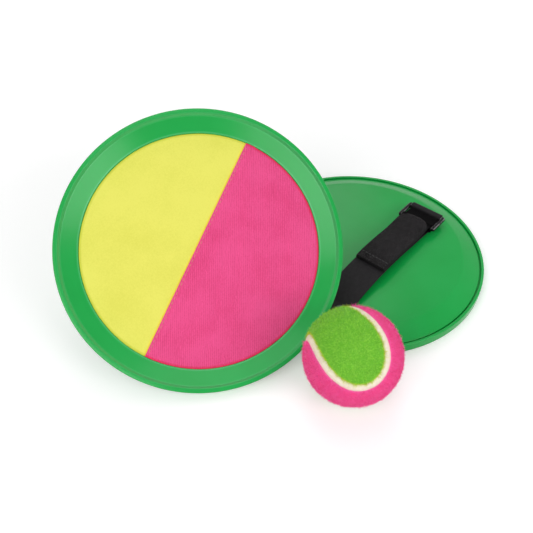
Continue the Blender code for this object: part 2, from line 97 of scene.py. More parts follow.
def paddle_place(side):
    """From a paddle's own axes to the set's: lip on z = 0, back up, strap along +X."""
    tab_1, tab_2, strap_1, strap_2 = (middle(f"{side}_rivet_{n}") for n in (1, 2, 3, 4))
    along = (tab_1 + tab_2 - strap_1 - strap_2).normalized()
    across = tab_1 - tab_2 + strap_1 - strap_2
    up = along.cross(across).normalized()
    turn = Matrix((along, up.cross(along), up)).transposed().to_4x4()
    ring_place = Vector(((RING_NEAR_BAR + RING_FAR_BAR) / 2, -STRAP_OFFSET, BAR_HEIGHT))
    return Matrix.Translation(middle(f"{side}_ring") - turn @ ring_place) @ turn


def filleted(corners, turn_per_step=12.0):
    """Rounds a chain of (radius, height, fillet) corners and returns its (radius, height) points."""
    chain = [corners[0][:2]]
    for before, (x, z, fillet), after in zip(corners, corners[1:], corners[2:]):
        here = Vector((x, z))
        to_before = Vector(before[:2]) - here
        to_after = Vector(after[:2]) - here
        room = FILLET_ROOM * min(to_before.length, to_after.length)
        to_before.normalize()
        to_after.normalize()
        half_angle = to_before.angle(to_after) / 2
        if fillet == 0.0 or half_angle > NEARLY_STRAIGHT:
            chain.append(tuple(here))
            continue
        radius = min(fillet, room * math.tan(half_angle))
        centre = here + (to_before + to_after).normalized() * radius / math.sin(half_angle)
        start = here + to_before * radius / math.tan(half_angle) - centre
        end = here + to_after * radius / math.tan(half_angle) - centre
        turn = math.pi - 2 * half_angle
        steps = max(2, round(math.degrees(turn) / turn_per_step))
        for step in range(steps + 1):
            share = step / steps
            arm = start * math.sin((1 - share) * turn) + end * math.sin(share * turn)
            chain.append(tuple(centre + arm / math.sin(turn)))
    chain.append(corners[-1][:2])
    return chain


def disc_chain():
    """The disc's section, from the middle of its back, round the rim, to the plate's front."""
    lip_inner = DISC_RADIUS - LIP_WIDTH
    band_top = Vector((lip_inner - RIM_FILLET / 2, LIP_STEP))
    band_low = Vector((SEAT_RADIUS, PAD_DEPTH - BAND_EDGE))
    along = (band_low - band_top).normalized()
    back = band_top + Vector((along.y, -along.x)) * SHELL_WALL
    knee_radius = back.x + along.x / along.y * (PLATE_BACK - back.y)
    gutter_outer = DISC_RADIUS - FLANGE_WIDTH
    gutter_inner = gutter_outer - GUTTER_WIDTH
    shoulder = back.y + along.y / along.x * (gutter_inner - back.x) + SHOULDER_FULLNESS
    lip_foot = band_top.y + along.y / along.x * (lip_inner - LIP_SLOPE - band_top.x)
    gutter_floor = RIM_HEIGHT - GUTTER_DEPTH
    small = RIM_FILLET / 3
    rings = [(radius, PLATE_BACK, 0.0) for radius in PLATE_RINGS]
    return filleted([
        (0.0, PLATE_BACK, 0.0),
        *rings,
        (knee_radius, PLATE_BACK, KNEE_FILLET),
        (gutter_inner, shoulder, RIM_FILLET),
        (gutter_inner, gutter_floor, small),
        (gutter_outer, gutter_floor, small),
        (gutter_outer, RIM_HEIGHT, RIM_FILLET),
        (DISC_RADIUS, RIM_HEIGHT, RIM_FILLET),
        (DISC_RADIUS, 0.0, RIM_FILLET),
        (lip_inner, 0.0, RIM_FILLET),
        (lip_inner - LIP_SLOPE, lip_foot, small),
        (band_low.x, band_low.y, BAND_FILLET),
        (SEAT_RADIUS, PLATE_FRONT, small),
        (0.0, PLATE_FRONT, 0.0),
    ])


def turned_mesh(name, chain, segments):
    """A (radius, height) chain spun round Z into a closed body."""
    bm = bmesh.new()
    verts = [bm.verts.new((x, 0.0, z)) for x, z in chain]
    edges = [bm.edges.new(pair) for pair in zip(verts, verts[1:])]
    bmesh.ops.spin(
        bm, geom=verts + edges, cent=(0, 0, 0), axis=(0, 0, 1), angle=2 * math.pi,
        steps=segments, use_merge=True,
    )
    bmesh.ops.remove_doubles(bm, verts=bm.verts, dist=MERGE_DISTANCE)
    return finished_mesh(name, bm)


def finished_mesh(name, bm, sharp_angle=32.0):
    """Turns a bmesh into a smooth-shaded mesh that keeps its sharper edges."""
    bmesh.ops.recalc_face_normals(bm, faces=bm.faces)
    mesh = bpy.data.meshes.new(name)
    bm.to_mesh(mesh)
    bm.free()
    mesh.shade_smooth()
    mesh.set_sharp_from_angle(angle=math.radians(sharp_angle))
    return mesh


def add_piece(name, mesh, place, material, slot, *stands_for):
    """A piece of the set, whose mesh is moved to its place after it has stored its own coordinates."""
    own = np.empty(3 * len(mesh.vertices), np.float32)
    mesh.vertices.foreach_get("co", own)
    mesh.attributes.new("own", "FLOAT_VECTOR", "POINT").data.foreach_set("vector", own)
    mesh.transform(place)
    piece = bpy.data.objects.new(name, mesh)
    bpy.context.scene.collection.objects.link(piece)
    mesh.materials.append(material)
    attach(piece, "root")
    if stands_for:
        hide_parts(*stands_for)
    return piece


def new_finish(name, colour, roughness, **settings):
    """A material with its even values on the shader. Returns it, its nodes' tree and its shader."""
    material = bpy.data.materials.new(name)
    material.use_nodes = True
    shader = material.node_tree.nodes["Principled BSDF"]
    shader.inputs["Base Color"].default_value = (*colour, 1.0)
    shader.inputs["Roughness"].default_value = roughness
    for socket, value in settings.items():
        shader.inputs[socket.replace("_", " ")].default_value = value
    return material, material.node_tree, shader


def add_node(tree, kind, inputs=(), **settings):
    """A node with its settings, whose inputs are values or other nodes' outputs."""
    item = tree.nodes.new(kind)
    for key, value in settings.items():
        setattr(item, key, value)
    for key, value in dict(inputs).items():
        if isinstance(value, bpy.types.NodeSocket):
            tree.links.new(value, item.inputs[key])
        else:
            item.inputs[key].default_value = value
    return item


def own_place(tree):
    """Coordinates in a piece's own axes, in metres."""
    return add_node(tree, "ShaderNodeAttribute", attribute_name="own").outputs["Vector"]


def spots(tree, place, size, detail=3.0, roughness=0.5):
    """Even noise with grains of about the given size in metres. Returns its value, 0 to 1."""
    inputs = {"Vector": place, "Scale": 1.0 / size, "Detail": detail, "Roughness": roughness}
    return add_node(tree, "ShaderNodeTexNoise", inputs).outputs["Fac"]


def between(tree, share, low, high, start=0.3, end=0.7):
    """Maps a share that runs from start to end onto low to high."""
    inputs = {0: share, 1: start, 2: end, 3: low, 4: high}
    return add_node(tree, "ShaderNodeMapRange", inputs).outputs[0]


def blended(tree, share, one, two):
    """Mixes two colours by a share."""
    item = add_node(tree, "ShaderNodeMix", data_type="RGBA")
    for socket, value in ((6, one), (7, two)):
        if isinstance(value, bpy.types.NodeSocket):
            tree.links.new(value, item.inputs[socket])
        else:
            item.inputs[socket].default_value = (*value, 1.0)
    tree.links.new(share, item.inputs[0])
    return item.outputs[2]


def bumped(tree, shader, height, depth, below=None):
    """Adds relief of the given depth in metres, on top of other relief, and returns its normal."""
    inputs = {"Height": height, "Distance": depth, "Strength": 1.0}
    if below:
        inputs["Normal"] = below
    normal = add_node(tree, "ShaderNodeBump", inputs).outputs["Normal"]
    tree.links.new(normal, shader.inputs["Normal"])
    return normal


def computed(tree, operation, one, two=0.0):
    """The result of one sum on two values."""
    return add_node(tree, "ShaderNodeMath", {0: one, 1: two}, operation=operation).outputs[0]


def nearness(tree, value, target, reach):
    """1 where the value meets the target, falling to 0 at the given distance from it."""
    off = computed(tree, "ABSOLUTE", computed(tree, "SUBTRACT", value, target))
    return between(tree, off, 1.0, 0.0, 0.0, reach)


def from_middle(tree, place):
    """Distance from a paddle's axis."""
    flat = add_node(tree, "ShaderNodeVectorMath", {0: place, 1: (1, 1, 0)}, operation="MULTIPLY")
    length = add_node(tree, "ShaderNodeVectorMath", {0: flat.outputs[0]}, operation="LENGTH")
    return length.outputs["Value"]


def green_plastic():
    """Semi-gloss plastic, with a paler painted highlight on the lip's inner edge and the band's lower
    edge.
    """
    material, tree, shader = new_finish("green moulded plastic", GREEN, 0.22, Specular_IOR_Level=0.22)
    place = own_place(tree)
    cloud = spots(tree, place, 0.035, 2.0)
    body = blended(tree, between(tree, cloud, 0.0, 1.0), DEEP_GREEN, GREEN)
    radius = from_middle(tree, place)
    height = add_node(tree, "ShaderNodeSeparateXYZ", {0: place}).outputs["Z"]
    at_lip = nearness(tree, radius, DISC_RADIUS - LIP_WIDTH - LIP_HIGHLIGHT_WIDTH / 2, LIP_HIGHLIGHT_WIDTH)
    lip_side = between(tree, height, 1.0, 0.0, *LIP_EDGE_HEIGHTS)
    at_seat = nearness(tree, radius, SEAT_RADIUS + BAND_EDGE, SEAT_HIGHLIGHT_WIDTH)
    seat_side = between(tree, height, 1.0, 0.0, *SEAT_EDGE_HEIGHTS)
    # Painted highlights: pale lines on the lip's inner edge and the band's lower edge, on the front only.
    edges = computed(
        tree, "MAXIMUM",
        computed(tree, "MULTIPLY", at_lip, lip_side), computed(tree, "MULTIPLY", at_seat, seat_side),
    )
    tree.links.new(blended(tree, edges, body, HIGHLIGHT_GREEN), shader.inputs["Base Color"])
    grain = spots(tree, place, 0.0009, 4.0)
    tree.links.new(between(tree, grain, 0.18, 0.26), shader.inputs["Roughness"])
    flow = bumped(tree, shader, spots(tree, place, 0.02, 1.0), 0.00006)
    bumped(tree, shader, grain, 0.00001, flow)
    return material


PLACES = {side: paddle_place(side) for side in SIDES}
plastic = green_plastic()
for side in SIDES:
    disc_mesh = turned_mesh(f"{side}_dish", disc_chain(), DISC_SEGMENTS)
    add_piece(f"{side}_dish", disc_mesh, PLACES[side], plastic, "green_plastic", f"{side}_disc")

# Catching cloths
# Each dish is lined with two half rounds of napped loop cloth glued to the plate. The pink one is
# ribbed, and its straight edge is turned and laps over the yellow one.

PAD_RADIUS = 0.0796
PAD_OVERLAP = 0.0028
LAP_RISE = 0.0008
LAP_SLOPE = 0.0034
CLOTH_SLACK = 0.00004
CLOTH_EDGE = 0.0003
EDGE_STEPS = (0.0, 0.08, 0.3, 0.65, 1.0)
CHORD_SHARE = 0.9995
CLOTH_WAVE = 0.00004
WAVE_SCALE = 60
CLOTH_COLUMNS = 300
CLOTH_ROWS = 90
RIB_PITCH = 0.00125
RIB_HEADING = -66.0
RIB_TONE = 0.22
# Width of the painted shade along the cloths' rims, under the band's edge. Each cloth's rim colour below
# is its darker, deeper tint.
RIM_SHADE = 0.0018
LAP_SHADE = 0.0020
YELLOW = (0.80, 0.775, 0.128)
YELLOW_SHADE = (0.74, 0.72, 0.103)
YELLOW_RIM_SHADE = (0.56, 0.60, 0.035)
YELLOW_LAP = (0.86, 0.73, 0.035)
PINK = (0.87, 0.083, 0.277)
PINK_SHADE = (0.75, 0.050, 0.20)
PINK_RIM_SHADE = (0.80, 0.010, 0.050)


def eased(share):
    """A share kept between 0 and 1, with a smooth start and end."""
    share = min(1.0, max(0.0, share))
    return share * share * (3 - 2 * share)


def cloth_lift(colour, to_edge):
    """How far a cloth stands above its pad's level, by the distance from its straight edge."""
    if colour == "yellow":
        return 0.0
    return LAP_RISE * (1 - eased((to_edge - 2 * PAD_OVERLAP) / LAP_SLOPE))


def cloth_mesh(name, colour):
    """A half round of cloth with rounded edges and a slightly uneven face, towards -Z."""
    way = 1 if colour == "pink" else -1
    straight = -PAD_OVERLAP if colour == "pink" else PAD_OVERLAP
    radius = SEAT_RADIUS - CLOTH_SLACK
    half_chord = math.sqrt(radius ** 2 - PAD_OVERLAP ** 2) * CHORD_SHARE
    rounding = CLOTH_EDGE * np.array(EDGE_STEPS)
    bm = bmesh.new()
    rows = []
    for u in np.linspace(-1, 1, CLOTH_COLUMNS):
        x = half_chord * math.sin(u * math.pi / 2)
        rim = way * math.sqrt(radius ** 2 - x * x)
        length = (rim - straight) * way
        steps = rounding * min(1.0, length / (4 * CLOTH_EDGE))
        inside = np.linspace(steps[-1], length - steps[-1], CLOTH_ROWS)[1:-1]
        column = [bm.verts.new((x, straight, PLATE_FRONT))]
        for to_edge in [*steps, *inside, *(length - steps[::-1])]:
            y = straight + way * to_edge
            near = max(0.0, min(to_edge, radius - math.hypot(x, y)))
            inset = max(0.0, 1 - near / CLOTH_EDGE)
            drop = CLOTH_EDGE * (1 - math.sqrt(max(0.0, 1 - inset * inset)))
            wave = noise.noise(Vector((x, y, 7.0 * way)) * WAVE_SCALE) * CLOTH_WAVE * (1 - inset)
            z = PAD_DEPTH - cloth_lift(colour, to_edge) + drop + wave
            column.append(bm.verts.new((x, y, z)))
        column.append(bm.verts.new((x, rim, PLATE_FRONT)))
        rows.append(column)
    for one, two in zip(rows, rows[1:]):
        for a, b, c, d in zip(one, one[1:], two[1:], two):
            bm.faces.new((a, b, c, d))
    return finished_mesh(name, bm, 50.0)


def cloth_finish(name, colour, shade, rim, ribbed):
    """Napped cloth, with painted shade in a deeper tint at its rim. The plain one has a warm strip at the
    lap.
    """
    material, tree, shader = new_finish(
        name, colour, 0.92, Sheen_Weight=0.25, Sheen_Roughness=0.5, Specular_IOR_Level=0.2,
    )
    place = own_place(tree)
    nap = spots(tree, place, 0.0011, 3.0, 0.6)
    patch = spots(tree, place, 0.02, 2.0)
    tone = computed(tree, "ADD", nap, patch)
    if ribbed:
        heading = (0, 0, math.radians(RIB_HEADING))
        sway = add_node(tree, "ShaderNodeMapping", {"Vector": place, "Rotation": heading})
        wales = add_node(
            tree, "ShaderNodeTexWave",
            {"Vector": sway.outputs[0], "Scale": math.pi / (10 * RIB_PITCH), "Distortion": 1.6,
             "Detail": 2.0, "Detail Scale": 0.25},
            bands_direction="X",
        ).outputs["Fac"]
        nap_relief = bumped(tree, shader, nap, 0.00010)
        bumped(tree, shader, wales, 0.0002, nap_relief)
        strength = between(tree, wales, -RIB_TONE, RIB_TONE, 0.0, 1.0)
        tone = computed(tree, "ADD", tone, strength)
    else:
        bumped(tree, shader, nap, 0.00012)
    share = between(tree, tone, 0.0, 1.0, 0.72, 1.18)
    # Painted shade at the rim.
    at_rim = between(tree, from_middle(tree, place), 0.0, 0.9, PAD_RADIUS - RIM_SHADE, PAD_RADIUS)
    body = blended(tree, share, shade, colour)
    if not ribbed:
        across = add_node(tree, "ShaderNodeSeparateXYZ", {0: place}).outputs["Y"]
        at_lap = between(tree, across, 0.0, 0.85, -PAD_OVERLAP - LAP_SHADE, -PAD_OVERLAP)
        body = blended(tree, at_lap, body, YELLOW_LAP)
    tree.links.new(blended(tree, at_rim, body, rim), shader.inputs["Base Color"])
    return material


CLOTHS = {
    "yellow": cloth_finish("yellow loop cloth", YELLOW, YELLOW_SHADE, YELLOW_RIM_SHADE, False),
    "pink": cloth_finish("pink ribbed loop cloth", PINK, PINK_SHADE, PINK_RIM_SHADE, True),
}
for side in SIDES:
    for colour, cloth in CLOTHS.items():
        name = f"{side}_cloth_{colour}"
        mesh = cloth_mesh(name, colour)
        piece = add_piece(name, mesh, PLACES[side], cloth, f"{colour}_cloth", f"{side}_pad_{colour}")

# Lap stitches
# One row of pink thread holds the turned edge of the pink cloth, close to the fold. It is sewn by
# machine, and each stitch dips into the cloth at both ends.

STITCH_LENGTH = 0.0024
STITCH_PITCH = 0.0034
STITCH_RADIUS = 0.00022
STITCH_INSET = 0.0015
STITCH_LIFT = 0.8
STITCH_DIP = 1.5
THREAD_SIDES = 8
THREAD_PINK = (0.90, 0.27, 0.25)


def stitch_row(bm, start, end, up, radius=STITCH_RADIUS, length=STITCH_LENGTH, pitch=STITCH_PITCH):
    """Adds a row of stitches from start to end. Each is a rounded thread that dips in at its ends."""
    run = end - start
    along = run.normalized()
    across = up.cross(along)
    count = int(run.length / pitch)
    for number in range(count):
        middle_point = start + along * (number + 0.5) * run.length / count
        rings = []
        for share in np.linspace(-1, 1, 7):
            thick = radius * math.sqrt(max(0.02, 1 - share ** 4))
            rise = up * radius * (STITCH_LIFT - STITCH_DIP * share ** 4)
            centre = middle_point + along * share * length / 2 + rise
            rings.append([
                bm.verts.new(centre + across * thick * math.cos(a) + up * thick * math.sin(a))
                for a in np.linspace(0, 2 * math.pi, THREAD_SIDES, endpoint=False)
            ])
        for one, two in zip(rings, rings[1:]):
            for k in range(THREAD_SIDES):
                bm.faces.new((one[k - 1], one[k], two[k], two[k - 1]))
        bm.faces.new(rings[0][::-1])
        bm.faces.new(rings[-1])


def thread_finish(name, colour):
    """Twisted thread, with painted shade between its strands, laid on as random darker spots."""
    material, tree, shader = new_finish(name, colour, 0.6, Sheen_Weight=0.2)
    place = own_place(tree)
    twist = spots(tree, place, 0.0003, 2.0)
    # A darker copy of the thread's colour, as painted shade.
    shade = tuple(0.6 * c for c in colour)
    tree.links.new(blended(tree, twist, shade, colour), shader.inputs["Base Color"])
    bumped(tree, shader, twist, 0.00005)
    return material


pink_thread = thread_finish("pink thread", THREAD_PINK)
for side in SIDES:
    bm = bmesh.new()
    y = -PAD_OVERLAP + STITCH_INSET
    z = PAD_DEPTH - LAP_RISE
    reach = math.sqrt(PAD_RADIUS ** 2 - y * y) - STITCH_LENGTH
    stitch_row(bm, Vector((-reach, y, z)), Vector((reach, y, z)), Vector((0, 0, -1)))
    stitches = finished_mesh(f"{side}_lap_stitches", bm)
    add_piece(stitches.name, stitches, PLACES[side], pink_thread, "pink_cloth")

# Ring tabs
# A short tab of the same black webbing lies on the plate under the ring, goes round the ring's
# far bar and comes back down on itself. Two rivets hold it to the plate.

FIT = 0.0003
STRAP_WIDTH = 0.025
STRAP_THICKNESS = 0.001
RING_BAR = 0.0032
TAB_END = 0.034
TAB_CLIP = 0.004
TAB_RIVETS = 0.039
TAB_LIFT = 0.004
TAB_BEND = 0.0016
TAB_LEAN = 15.0
TAB_NARROW = 0.0035
TAB_SPREAD = 0.0006
TAB_LOW = PLATE_BACK + FIT + STRAP_THICKNESS / 2
TAB_HIGH = TAB_LOW + STRAP_THICKNESS + FIT
UNDER_BAR = TAB_HIGH + STRAP_THICKNESS + FIT
WRAP_RADIUS = RING_BAR / 2 + FIT + STRAP_THICKNESS / 2
# Between these heights the tab goes from painted shade, under the far bar, to its own colour.
TAB_DARK = BAR_HEIGHT - 0.0012
TAB_OPEN = BAR_HEIGHT + 0.0022
TAB_RIPPLE = 0.00003
RIPPLE_SCALE = 260
WEAVE_PITCH = 0.0011
WEBBING_BLACK = (0.0070, 0.0060, 0.0072)
WEBBING_LIGHT = (0.0130, 0.0118, 0.0130)
# Near-black painted shade for the webbing inside its folds.
PAINTED_FOLD_SHADE = (0.0008, 0.0007, 0.0008)


def bar_wrap(x, end=90.0, steps=18):
    """Points round a bar, from under it, past its outer side, to the given angle."""
    return [
        (x + WRAP_RADIUS * math.cos(a), BAR_HEIGHT + WRAP_RADIUS * math.sin(a))
        for a in np.radians(np.linspace(-90.0, end, steps + 1))
    ]


def path_normals(path):
    """The direction to the left of the path at each of its points."""
    normals = []
    for i in range(len(path)):
        ahead = Vector(path[min(i + 1, len(path) - 1)])
        behind = Vector(path[max(i - 1, 0)])
        along = (ahead - behind).normalized()
        normals.append(Vector((-along.y, along.x)))
    return normals


def band_mesh(name, path, half_widths, thickness, across=16, ripple=0.0):
    """A band along a path of (x, height) points, with rounded edges. Its UVs are in metres."""
    half = thickness / 2
    edge = [(math.cos(a), math.sin(a)) for a in np.radians([60, 30, 0, -30, -60])]
    section = [(s, 0.0, 1.0) for s in np.linspace(-1, 1, across)]
    section += [(1.0, bulge, rise) for bulge, rise in edge]
    section += [(s, 0.0, -1.0) for s in np.linspace(1, -1, across)]
    section += [(-1.0, -bulge, -rise) for bulge, rise in edge]
    bm = bmesh.new()
    uv_layer = bm.loops.layers.uv.new("UVMap")
    rings, lengths = [], [0.0]
    for before, after in zip(path, path[1:]):
        lengths.append(lengths[-1] + (Vector(after) - Vector(before)).length)
    for (x, z), normal, width, length in zip(path, path_normals(path), half_widths, lengths):
        ring = []
        for flat, bulge, rise in section:
            y = flat * (width - half) + bulge * half
            spot = Vector((length * RIPPLE_SCALE, y * RIPPLE_SCALE, 0.0))
            lift = rise * half + ripple * noise.noise(spot)
            ring.append(bm.verts.new((x + normal.x * lift, y - STRAP_OFFSET, z + normal.y * lift)))
        rings.append(ring)
    count = len(section)
    places_across = [flat * max(half_widths) + bulge * half for flat, bulge, _ in section]
    for i, (one, two) in enumerate(zip(rings, rings[1:])):
        for k in range(count):
            face = bm.faces.new((one[k - 1], one[k], two[k], two[k - 1]))
            corners = ((k - 1, i), (k, i), (k, i + 1), (k - 1, i + 1))
            for loop, (column, row) in zip(face.loops, corners):
                loop[uv_layer].uv = (places_across[column], lengths[row])
    bm.faces.new(rings[0])
    bm.faces.new(rings[-1][::-1])
    return finished_mesh(name, bm, 50.0)


def webbing_finish(name, axis, dark_end, open_end):
    """Plain-woven nylon: small crossing humps with a dull gleam. Painted shade darkens it and dims its
    gleam into a fold along an axis.
    """
    material, tree, shader = new_finish(
        name, WEBBING_BLACK, 0.62, Sheen_Weight=0.01, Specular_IOR_Level=0.10,
    )
    place = add_node(tree, "ShaderNodeUVMap", uv_map="UVMap").outputs["UV"]
    parts = add_node(tree, "ShaderNodeSeparateXYZ", {0: place}).outputs
    humps = []
    for crossing in (0, 1):
        turns = computed(tree, "MULTIPLY", parts[crossing], 2 * math.pi / WEAVE_PITCH)
        humps.append(computed(tree, "SINE", turns))
    weave = computed(tree, "MULTIPLY", humps[0], humps[1])
    object_place = own_place(tree)
    lint = spots(tree, object_place, 0.0025, 4.0, 0.7)
    body = blended(tree, between(tree, lint, 0.0, 1.0, 0.35, 0.75), WEBBING_BLACK, WEBBING_LIGHT)
    into_fold = add_node(tree, "ShaderNodeSeparateXYZ", {0: object_place}).outputs[axis]
    # Painted shade: the colour darkens and the gleam dims into the fold.
    open_share = between(tree, into_fold, 0.0, 1.0, dark_end, open_end)
    gleam = between(tree, open_share, 0.01, 0.12, 0.0, 1.0)
    tree.links.new(gleam, shader.inputs["Specular IOR Level"])
    tree.links.new(blended(tree, open_share, PAINTED_FOLD_SHADE, body), shader.inputs["Base Color"])
    relief = bumped(tree, shader, between(tree, weave, 0.0, 1.0, -1.0, 1.0), 0.00012)
    bumped(tree, shader, spots(tree, object_place, 0.0004, 2.0), 0.00006, relief)
    return material


def tab_height(x):
    """Height of the tab's lower layer, which clears the strap's turn and then meets the far bar."""
    first = eased((x - TAB_RIVETS - TAB_LIFT) / TAB_LIFT)
    second = eased((x - RING_NEAR_BAR - RING_BAR / 2) / TAB_LIFT)
    return TAB_LOW + (TAB_HIGH - TAB_LOW) * first + (UNDER_BAR - TAB_HIGH) * second


def tab_path():
    """The tab: along the plate, round the far bar, down its inner side and back on itself."""
    home_end = RING_NEAR_BAR + WRAP_RADIUS + STRAP_THICKNESS / 2
    out = [(x, tab_height(x)) for x in np.linspace(TAB_END, RING_FAR_BAR, 60)[:-1]]
    wrap = bar_wrap(RING_FAR_BAR, 180.0 - TAB_LEAN, 26)
    lean = math.radians(TAB_LEAN)
    upper = UNDER_BAR + STRAP_THICKNESS + FIT
    bend_height = upper + TAB_BEND
    fall = wrap[-1][1] - (bend_height - TAB_BEND * math.sin(lean))
    bend_x = wrap[-1][0] - fall * math.tan(lean) - TAB_BEND * math.cos(lean)
    bend = [
        (bend_x + TAB_BEND * math.cos(a), bend_height + TAB_BEND * math.sin(a))
        for a in np.radians(np.linspace(-TAB_LEAN, -90.0, 10))
    ]
    home = [(x, upper) for x in np.linspace(bend_x, home_end, 8)[1:]]
    return [*out, *wrap, *bend, *home]


def tab_half_width(x):
    """Half the tab's width: clipped and drawn in under the strap, spread to fill the ring."""
    spread = eased((x - RING_NEAR_BAR + TAB_LIFT) / TAB_LIFT)
    clipped = max(0.0, TAB_CLIP - (x - TAB_END))
    return STRAP_WIDTH / 2 - clipped - TAB_NARROW * (1 - spread) + TAB_SPREAD * spread


tab_webbing = webbing_finish("black tab webbing", "Z", TAB_DARK, TAB_OPEN)
for side in SIDES:
    path = tab_path()
    halves = [tab_half_width(x) for x, _ in path]
    mesh = band_mesh(f"{side}_tab", path, halves, STRAP_THICKNESS, ripple=TAB_RIPPLE)
    add_piece(mesh.name, mesh, PLACES[side], tab_webbing, "black_webbing", f"{side}_ring_tab")

# Rings
# The strap turns back through a rectangular ring with rounded bars, moulded in one piece in black
# plastic. The tab holds its far bar. A painted highlight runs in broken pale lines on the top edges of its
# side bars.

RING_SLACK = 0.0007
RING_SIDE_BAR = 0.003
RING_EDGE = 0.0011
RING_CORNER = 0.0018
# Where the painted highlight lies on the side bars: the inner and outer edge lines' offsets and widths,
# the heights of the bars' tops, and the noise band that breaks it into patches. Its pale grey is the last
# colour below.
INNER_HIGHLIGHT = (0.0003, 0.0004)
OUTER_HIGHLIGHT = (0.0004, 0.0005)
HIGHLIGHT_HEIGHTS = (BAR_HEIGHT + 0.0004, BAR_HEIGHT + 0.0010)
HIGHLIGHT_PATCHES = (0.42, 0.58)
RING_BLACK = (0.0025, 0.0022, 0.0025)
RING_SCUFF = (0.008, 0.007, 0.008)
RING_HIGHLIGHT = (0.20, 0.19, 0.20)


def ring_mesh(name):
    """A rounded loop: a rectangular section swept round a rectangle with small corner arcs."""
    length = (RING_FAR_BAR - RING_NEAR_BAR + RING_BAR) / 2
    width = STRAP_WIDTH / 2 + RING_SLACK + RING_SIDE_BAR
    half = RING_BAR / 2
    bm = bmesh.new()
    section = []
    for corner_x, corner_z in ((1, 1), (1, -1), (-1, -1), (-1, 1)):
        for step in range(5):
            a = math.radians(22.5 * step)
            turn = math.atan2(corner_z, corner_x) + math.pi / 4 - a
            section.append((corner_x, corner_z, math.cos(turn), math.sin(turn)))
    loop_points = []
    for sign_x, sign_y, start in ((1, 1, 0), (-1, 1, 90), (-1, -1, 180), (1, -1, 270)):
        for a in np.radians(np.linspace(start, start + 90, 9)):
            loop_points.append((sign_x, sign_y, math.cos(a), math.sin(a)))
    rings = []
    for sign_x, sign_y, dx, dy in loop_points:
        centre_x = sign_x * (length - RING_CORNER)
        centre_y = sign_y * (width - RING_CORNER)
        ring = []
        for side_x, side_z, round_x, round_z in section:
            bar = RING_SIDE_BAR * abs(dy) + RING_BAR * abs(dx)
            out = 0.0 if side_x > 0 else -bar
            inset = -RING_EDGE if side_x > 0 else RING_EDGE
            radial = RING_CORNER + out + inset + round_x * RING_EDGE
            height = side_z * (half - RING_EDGE) + round_z * RING_EDGE
            ring.append(bm.verts.new((
                centre_x + dx * radial + (RING_NEAR_BAR + RING_FAR_BAR) / 2,
                centre_y + dy * radial - STRAP_OFFSET,
                BAR_HEIGHT + height,
            )))
        rings.append(ring)
    for one, two in zip(rings, rings[1:] + rings[:1]):
        for k in range(len(section)):
            bm.faces.new((one[k - 1], one[k], two[k], two[k - 1]))
    return finished_mesh(name, bm, 40.0)


def ring_finish():
    """Satin plastic, scuffed, with a painted highlight in broken pale lines on the top edges of the side
    bars.
    """
    material, tree, shader = new_finish("black ring plastic", RING_BLACK, 0.2, Specular_IOR_Level=0.14)
    place = own_place(tree)
    scuff = spots(tree, place, 0.002, 4.0, 0.7)
    tree.links.new(between(tree, scuff, 0.16, 0.28), shader.inputs["Roughness"])
    parts = add_node(tree, "ShaderNodeSeparateXYZ", {0: place}).outputs
    side_reach = computed(tree, "ABSOLUTE", computed(tree, "ADD", parts["Y"], STRAP_OFFSET))
    inner = STRAP_WIDTH / 2 + RING_SLACK
    inner_edge = nearness(tree, side_reach, inner + INNER_HIGHLIGHT[0], INNER_HIGHLIGHT[1])
    outer_edge = nearness(tree, side_reach, inner + RING_SIDE_BAR - OUTER_HIGHLIGHT[0], OUTER_HIGHLIGHT[1])
    # Both edge lines of the painted highlight.
    edges = computed(tree, "MAXIMUM", inner_edge, outer_edge)
    on_top = between(tree, parts["Z"], 0.0, 1.0, *HIGHLIGHT_HEIGHTS)
    patches = between(tree, spots(tree, place, 0.004, 2.0), 0.0, 1.0, *HIGHLIGHT_PATCHES)
    # Painted highlight on the top edges of the side bars, broken into patches.
    painted_highlight = computed(tree, "MULTIPLY", computed(tree, "MULTIPLY", edges, on_top), patches)
    body = blended(tree, scuff, RING_BLACK, RING_SCUFF)
    tree.links.new(blended(tree, painted_highlight, body, RING_HIGHLIGHT), shader.inputs["Base Color"])
    bumped(tree, shader, spots(tree, place, 0.0008, 2.0), 0.00003)
    return material


ring_black = ring_finish()
for side in SIDES:
    mesh = ring_mesh(f"{side}_buckle")
    add_piece(mesh.name, mesh, PLACES[side], ring_black, "black_plastic", f"{side}_ring")

# Hand straps
# One length of 25 mm black nylon webbing arches off the plate for the hand. Its plain end is
# riveted down, and its other end turns back through the ring.

STRAP_END = -0.067
STRAP_RISE_START = -0.056
STRAP_RISE = 0.0052
STRAP_SKEW = 0.744
STRAP_FULLNESS = 1.15
TAIL_END = -0.017
HOOKS_START = -0.008
HOOKS_THICKNESS = 0.0005
TAIL_PITCH = STRAP_THICKNESS + HOOKS_THICKNESS + 2 * FIT
TAIL_REST = STRAP_THICKNESS + 1.5 * FIT
TAIL_CLIMB = 0.028
TURN_GAP = 0.0005
TURN_SPREAD = 0.004
STRAP_STEP = 0.0009
STRAP_RIPPLE = 0.00004
# Between these two places the strap goes from its own colour to painted shade at the ring's near bar.
STRAP_DARK = RING_NEAR_BAR - 0.001
STRAP_OPEN = RING_NEAR_BAR - 0.011


def strap_height(x):
    """Height of the strap's lower run, an arch for the hand with its top near the tail's end."""
    share = (x - STRAP_RISE_START) / (RING_NEAR_BAR - STRAP_RISE_START)
    if share <= 0.0:
        return TAB_LOW
    arch = max(0.0, math.sin(math.pi * share ** STRAP_SKEW)) ** STRAP_FULLNESS
    return TAB_LOW + (UNDER_BAR - TAB_LOW) * share + STRAP_RISE * arch


